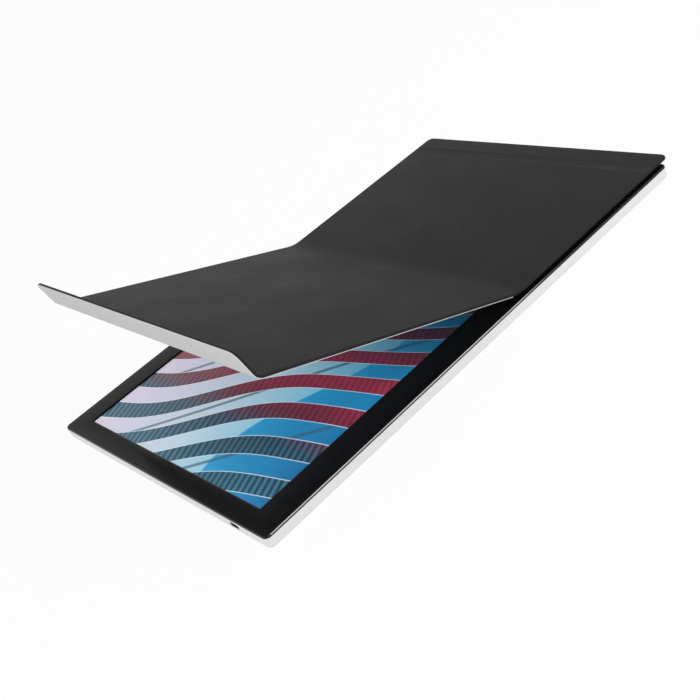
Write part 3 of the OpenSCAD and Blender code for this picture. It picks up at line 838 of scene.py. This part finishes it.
@dataclass(frozen=True)
class Turn:
    """A fold at rest: how far a section is lifted about a crease."""

    centre: Vector
    degrees: float

    def place(self, flat: Vector) -> Vector:
        """Where a place comes to lie; what is towards -X is lifted."""
        lean = Quaternion((0, 1, 0), math.radians(self.degrees))
        return self.centre + lean @ (flat - self.centre)

    def carry(self, piece: Object) -> None:
        """Turns a whole piece."""
        swing(piece, every, self.centre, self.degrees)


@dataclass
class Section:
    """One stiff length of the cover, modelled flat and then folded to its place.

    start and end are places along X in metres, with end nearer the flap. node is the
    start of its CAD nodes' names, and lining_inset is how far its lining stays off the
    side edges.
    """

    name: str
    body: str
    node: str
    start: float
    end: float
    start_free: bool = False
    end_free: bool = False
    lining_inset: float = 0.0
    turns: tuple[Turn, ...] = ()

    def at_free_end(self, place: Vector, reach: float = 0.0) -> bool:
        """Whether a place lies within reach of the section's free end."""
        return ((self.start_free and place.x > self.start - TOUCH - reach)
                or (self.end_free and place.x < self.end + TOUCH + reach))

    def on_rim(self, edge: Edge, height: float, half: float, corner: float) -> bool:
        """Tells the sharp edges of the flat piece's free outline from the others.

        Args:
            edge: the edge.
            height: the outline's height.
            half: half the cover's width.
            corner: the radius of the free corners.

        Returns:
            Whether both its ends and its middle lie on the outline.
        """
        a, b = ends(edge)
        return sharp(edge) and all(
            abs(p.z - height) < TOUCH
            and (abs(p.y) > half - TOUCH or self.at_free_end(p, corner))
            for p in (a, b, (a + b) / 2))

    def round_corners(self, piece: Object, radius: float) -> None:
        """Rounds the corners at the free end of the flat piece.

        Args:
            piece: the flat piece.
            radius: the corners' radius in metres.
        """
        def upright(edge: Edge) -> bool:
            """Whether the edge stands upright at a free corner."""
            along, across, _ = run(edge)
            return self.at_free_end(ends(edge)[0]) and max(along, across) < TOUCH

        bevel(piece, upright, radius, 8)


@dataclass(frozen=True)
class Layer:
    """The leather or the lining, in metres.

    low and high are the heights of its faces, inset is how far it stays off the side
    edges, and each rim is the height of an edge with its radius and its steps.
    """

    name: str
    finish: Material
    low: float
    high: float
    inset: float
    rims: tuple[tuple[float, float, int], ...]


@dataclass
class Cover:
    """The folding cover: four stiff sections, three creases and the spine wrap.

    Lengths are in millimetres, and top is the height of the outer face. A band is half
    the length that bends at a crease. groove_profile has places along the groove's band
    from 1 at the spine's side to -1, each with how far the leather is pressed in, and
    the groove runs out between the two run_outs from the leather's side edges.
    """

    skin_finish: Material
    lining_finish: Material
    board_finish: Material
    top: float = 11.5
    thickness: float = 2.2
    lining: float = 0.4
    width: float = 229.0
    flap_length: float = 20.7
    corner: float = 5.0
    top_round: float = 0.9
    foot_round: float = 0.25
    lining_round: float = 0.12
    lining_inset: float = 1.2
    groove_band: float = 4.5
    middle_band: float = 6.0
    flap_band: float = 3.2
    bend_steps: int = 10
    board_gap: float = 0.3
    end_inset: float = 0.7
    wrap_round: float = 0.2
    wrap_edge: float = 1.5
    band_smooth_degrees: float = 50.0
    run_outs: Pair = (1.5, 7.0)
    groove_profile: tuple[Pair, ...] = (
        (0.92, 0.02), (0.8, 0.18), (0.66, 0.27), (0.3, 0.3), (0.0, 0.3),
        (-0.3, 0.3), (-0.66, 0.27), (-0.8, 0.18), (-0.92, 0.02))

    def build(self) -> None:
        """Makes every piece of the cover."""
        groove, middle, flap = (Vector(joint(n)["pos_m"])
                                for n in ("groove_fold", "middle_fold", "flap_fold"))
        lift = Turn(middle, -joint("middle_fold")["range_deg"][0])
        flap_flat = Vector((middle.x - (flap - middle).length, 0, middle.z))
        rise = Turn(flap_flat, -joint("flap_fold")["range_deg"][0])
        wide, soft, tight, inset = (length * MM for length in (
            self.groove_band, self.middle_band, self.flap_band, self.lining_inset))
        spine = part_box("strip_skin")[1].x
        tip = flap_flat.x - self.flap_length * MM
        sections = (
            Section("fixed_strip", "display", "strip", spine, groove.x + wide,
                    start_free=True, lining_inset=inset),
            Section("flat_half", "flat_half", "inner", groove.x - wide, middle.x + soft,
                    lining_inset=inset),
            Section("lifted_half", "lifted_half", "outer", middle.x - soft,
                    flap_flat.x + tight, turns=(lift,)),
            Section("closing_flap", "flap", "flap", flap_flat.x - tight, tip,
                    end_free=True, turns=(rise, lift)),
        )
        for section in sections:
            self.section(section)
        level = tuple((1 - 2 * i / self.bend_steps, 0.0)
                      for i in range(1, self.bend_steps))
        self.crease("groove", groove, wide,
                    self.groove_profile, inset)
        self.crease("middle_crease", middle, soft, level,
                    inset, lift)
        self.crease("flap_crease", flap_flat, tight, level,
                    0.0, rise, (lift,))
        self.spine_wrap()

    def layers(self, inset: float) -> tuple[Layer, Layer]:
        """The leather and the lining.

        Args:
            inset: how far the lining stays off the side edges, in metres.

        Returns:
            The two layers.
        """
        top = self.top * MM
        middle = top - (self.thickness - self.lining) * MM
        bottom = top - self.thickness * MM
        return (Layer("skin", self.skin_finish, middle, top, 0.0,
                      ((top, self.top_round * MM, 4),
                       (middle, self.foot_round * MM, 2))),
                Layer("lining", self.lining_finish, bottom, middle, inset,
                      ((bottom, self.lining_round * MM, 2),)))

    def section_board(self, section: Section) -> Object:
        """The stiff board: the CAD board, cut off where the soft bands begin.

        Args:
            section: the section that it stiffens.

        Returns:
            The board.
        """
        node = section.node + "_board"
        piece = node_copy(node, section.name + "_board")
        for x, way in ((section.start, 1), (section.end, -1)):
            place = Vector((x - way * self.board_gap * MM, 0, self.top * MM))
            normal = place + Vector((way, 0, 0))
            for turn in section.turns:
                place, normal = turn.place(place), turn.place(normal)
            bisect(piece, place, normal - place, drop=True)
        smooth(piece)
        return mount(piece, self.board_finish, section.body, "stiffener_board", node)

    def section(self, section: Section) -> None:
        """A stiff section: a board with leather over it and lining under it.

        Args:
            section: the section.
        """
        board = self.section_board(section)
        radius = self.corner * MM
        for layer in self.layers(section.lining_inset):
            half = self.width / 2 * MM - layer.inset
            inset = layer.inset if section.start_free else 0.0
            flat = replace(section, start=section.start - inset)
            piece = block(f"{section.name}_{layer.name}", (flat.end, -half, layer.low),
                          (flat.start, half, layer.high))
            flat.round_corners(piece, radius)
            for height, width, steps in layer.rims:
                bevel(piece, lambda edge, flat=flat, height=height, half=half:
                      flat.on_rim(edge, height, half, radius), width, steps)
            for turn in section.turns:
                turn.carry(piece)
            if layer.name == "skin":
                carve(piece, duplicate(board, "board_space"))
            smooth(piece)
            mount(piece, layer.finish, section.body, "cover_" + layer.name,
                  f"{section.node}_{layer.name}")

    def crease(self, name: str, axis: Vector, band: float,
               profile: Sequence[Pair], lining_inset: float,
               fold: Turn | None = None, turns: tuple[Turn, ...] = ()) -> None:
        """A soft band of leather and lining, curved at rest, that lies between two sections.

        Args:
            name: the start of the two pieces' names.
            axis: the hinge, where the band lies flat.
            band: half the band's length, in metres.
            profile: places along the band from 1 at the spine's side to -1, each with
                how far the leather is pressed in there, in millimetres.
            lining_inset: how far the lining stays off the side edges, in metres.
            fold: how far the band is bent at rest, in one even curve.
            turns: the folds that carry the whole band.
        """
        start, end = (Vector((axis.x + side * band, 0, axis.z)) for side in (1, -1))
        spread = [start.x, *(axis.x + share * band for share, _ in profile), end.x]
        leather_half = self.width / 2 * MM
        pressed = leather_half - self.run_outs[-1] * MM + TOUCH
        for layer in self.layers(lining_inset):
            half = leather_half - layer.inset
            piece = block(f"{name}_{layer.name}", (end.x, -half, layer.low),
                          (start.x, half, layer.high))
            for height, width, steps in layer.rims:
                bevel(piece, lambda edge, height=height: run(edge)[0] > band and all(
                    abs(p.z - height) < TOUCH for p in ends(edge)), width, steps)
            for x in spread[1:-1]:
                bisect(piece, Vector((x, 0, 0)), Vector((1, 0, 0)))
            if any(drop for _, drop in profile):
                for run_out in self.run_outs:
                    for way in (-1, 1):
                        place = Vector((0, way * (leather_half - run_out * MM), 0))
                        bisect(piece, place, Vector((0, 1, 0)))
                for share, drop in profile:
                    x = axis.x + share * band
                    shift(piece, lambda vertex, x=x: abs(vertex.co.x - x) < TOUCH
                          and abs(vertex.co.y) < pressed, (0, 0, -drop * MM))
            if fold:
                self.curl(piece, spread, start, band, fold.degrees)
            for turn in turns:
                turn.carry(piece)
            smooth(piece, self.band_smooth_degrees)
            mount(piece, layer.finish, None, "cover_" + layer.name)
            a, b = start, fold.place(end) if fold else end
            for turn in turns:
                a, b = turn.place(a), turn.place(b)
            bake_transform(piece)

    def curl(self, piece: Object, spread: Sequence[float], start: Vector, band: float,
             degrees: float) -> None:
        """Bends a flat band upwards into one even curve.

        Args:
            piece: the band, with a ring of vertices at each place of spread.
            spread: the rings' places along X, from the spine's side.
            start: where the curve begins.
            band: half the band's length.
            degrees: how far its other end is lifted.
        """
        radius = band / math.tan(math.radians(degrees) / 2)
        centre = start + Vector((0, 0, radius))
        rings = [frozenset(v.index for v in piece.data.vertices
                           if abs(v.co.x - x) < TOUCH) for x in spread]
        for x, ring in zip(spread, rings):
            def held(vertex: bmesh.types.BMVert, ring: frozenset[int] = ring) -> bool:
                """Whether the vertex belongs to this ring."""
                return vertex.index in ring

            shift(piece, held, (start.x - x, 0, 0))
            swing(piece, held, centre, degrees * (start.x - x) / (2 * band))

    def spine_wrap(self) -> None:
        """The leather and lining round the spine and the strip behind the case."""
        piece = node_copy("spine_skin", "spine_wrap_skin")
        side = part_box("spine_skin")[1].y
        least = self.wrap_edge * MM
        bevel(piece, lambda edge: sharp(edge) and edge.calc_length() > least and all(
            abs(p.y) > side - TOUCH for p in ends(edge)), self.wrap_round * MM, 2)
        smooth(piece)
        mount(piece, self.skin_finish, "display", "cover_skin", "spine_skin")
        piece = node_copy("spine_lining", "spine_wrap_lining")
        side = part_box("spine_lining")[1].y
        for way in (-1, 1):
            shift(piece, lambda vertex, way=way: abs(vertex.co.y - way * side) < TOUCH,
                  (0, -way * self.end_inset * MM, 0))
        smooth(piece)
        mount(piece, self.lining_finish, "display", "cover_lining", "spine_lining")
        for node in ("spine_board", "rear_board"):
            paint(node, self.board_finish)


# Camera and studio


def seen_rays(tree: Tree) -> Socket:
    """Adds what tells rays from the camera, a mirror or glass from the others.

    Args:
        tree: the node tree that gets it.

    Returns:
        The output that is 1 for such a ray and 0 for any other.
    """
    ray = add(tree, "LightPath").outputs
    seen = ray["Is Camera Ray"]
    for kind in ("Is Glossy Ray", "Is Transmission Ray"):
        seen = add(tree, "Math", {"operation": "MAXIMUM"},
                   {0: seen, 1: ray[kind]}).outputs[0]
    return seen


def softbox(name: str, size: float, power: float) -> Object:
    """Adds an area lamp, to be placed.

    Args:
        name: the lamp's name.
        size: its side, in metres.
        power: its power, in watts.

    Returns:
        The lamp.
    """
    data = bpy.data.lights.new(name, "AREA")
    data.size = size
    data.energy = power
    return placed(name, data)


@dataclass
class Studio:
    """The camera as the photograph was taken, a pale floor and soft lamps.

    Places and sizes are in metres, and the lens is in millimetres. sky is how strongly
    the sky lights, and floor_white is how much of its own white the floor shows.
    """

    eye: Triple = (-0.33905, -0.54631, 0.35644)
    look: Triple = (0.42748, 0.74614, -0.51043)
    roll_degrees: float = -24.76
    lens: float = 55.93
    floor_size: float = 12.0
    floor_white: float = 0.9
    sky: float = 0.76
    strip_ends: tuple[Triple, Triple] = ((0.05, -0.98, 1.09), (0.85, -0.84, 0.9))
    strip_width: float = 0.15
    strip_power: float = 4.8
    fill_place: Triple = (-1.4, -0.3, 0.45)
    fill_size: float = 0.9
    fill_power: float = 2.2

    def build(self) -> None:
        """Makes the camera, the floor, the lamps and the sky."""
        bpy.context.scene.view_settings.view_transform = "Standard"
        self.camera()
        self.floor()
        self.lamps()
        self.world()

    def camera(self) -> None:
        """The camera at the photograph's place."""
        data = bpy.data.cameras.new("camera")
        data.sensor_width = 36.0
        data.lens = self.lens
        data.clip_start = 0.01
        camera = placed("camera", data)
        camera.location = self.eye
        camera.rotation_mode = "QUATERNION"
        roll = Quaternion((0, 0, 1), math.radians(self.roll_degrees))
        camera.rotation_quaternion = Vector(self.look).to_track_quat("-Z", "Y") @ roll
        bpy.context.scene.camera = camera

    def floor(self) -> None:
        """A pale floor that looks white where nothing shades it."""
        bpy.ops.object.select_all(action="DESELECT")
        bpy.ops.mesh.primitive_plane_add(size=self.floor_size, location=(0, 0, 0))
        floor = bpy.context.object
        floor.name = "studio_floor"
        material, tree, shader = new_material("pale_floor")
        add(tree, shader, {"Base Color": linear("F4F4F4"), "Roughness": 0.95,
                           "Specular IOR Level": 0.1})
        share = add(tree, "Math", {"operation": "MULTIPLY", 1: self.floor_white},
                    {0: seen_rays(tree)})
        white = add(tree, "Emission", {"Color": (1, 1, 1, 1), "Strength": 1.0})
        mixed = add(tree, "MixShader", links={0: share.outputs[0], 1: shader.outputs[0],
                                              2: white.outputs[0]})
        surface = tree.nodes["Material Output"].inputs["Surface"]
        tree.links.new(mixed.outputs[0], surface)
        floor.data.materials.append(material)

    def lamps(self) -> None:
        """A fill from the left, and a strip that also shows in the bezel's chamfer."""
        fill = softbox("fill_softbox", self.fill_size, self.fill_power)
        fill.location = self.fill_place
        fill.rotation_mode = "QUATERNION"
        fill.rotation_quaternion = (-Vector(self.fill_place)).to_track_quat("-Z", "Y")
        first, last = (Vector(end) for end in self.strip_ends)
        strip = softbox("strip_softbox", (last - first).length, self.strip_power)
        strip.data.shape = "RECTANGLE"
        strip.data.size_y = self.strip_width
        middle = (first + last) / 2
        along = (last - first).normalized()
        away = (middle - middle.dot(along) * along).normalized()
        axes = Matrix((along, away.cross(along), away)).transposed()
        strip.matrix_world = axes.to_4x4()
        strip.location = middle

    def world(self) -> None:
        """A plain sky: white where it is seen or mirrored, softer where it lights."""
        world = bpy.data.worlds.new("studio_sky")
        bpy.context.scene.world = world
        world.use_nodes = True
        tree = world.node_tree
        background = tree.nodes["Background"]
        background.inputs["Color"].default_value = (1, 1, 1, 1)
        level = add(tree, "MapRange", {"To Min": self.sky, "To Max": 1.0},
                    {"Value": seen_rays(tree)})
        tree.links.new(level.outputs[0], background.inputs["Strength"])


def dress_nodes() -> None:
    """Gives each CAD node that stays its own finish.

    The frame has materials of its own with the names of CELL_GLASS and FLAT_CABLE.
    Those two finishes aren't built, and their nodes show the frame's material.
    """
    for finish, nodes in NODE_FINISHES.items():
        material = bpy.data.materials.get(finish.name) or finish.build()
        for node in nodes:
            paint(node, material)
            LOG.info("%s: %s", node, finish.name)
    paint("front_polariser", Wallpaper().build())


def main() -> None:
    """Builds the object and its studio."""
    logging.basicConfig(level=logging.INFO, format="%(name)s: %(message)s")
    Studio().build()
    dress_nodes()
    Case(PAINTED_ABS.build(), BLACK_ABS.build(), POLISHED_ABS.build()).build()
    Cover(LEATHER.build(), MICROFIBRE.build(), GREY_BOARD.build()).build()
    for piece in frame["nodes"].values():
        for material_slot in piece.material_slots:
            if material_slot.material is None:
                LOG.warning("%s has no finish", piece.name)


if __name__ == "__main__":
    main()
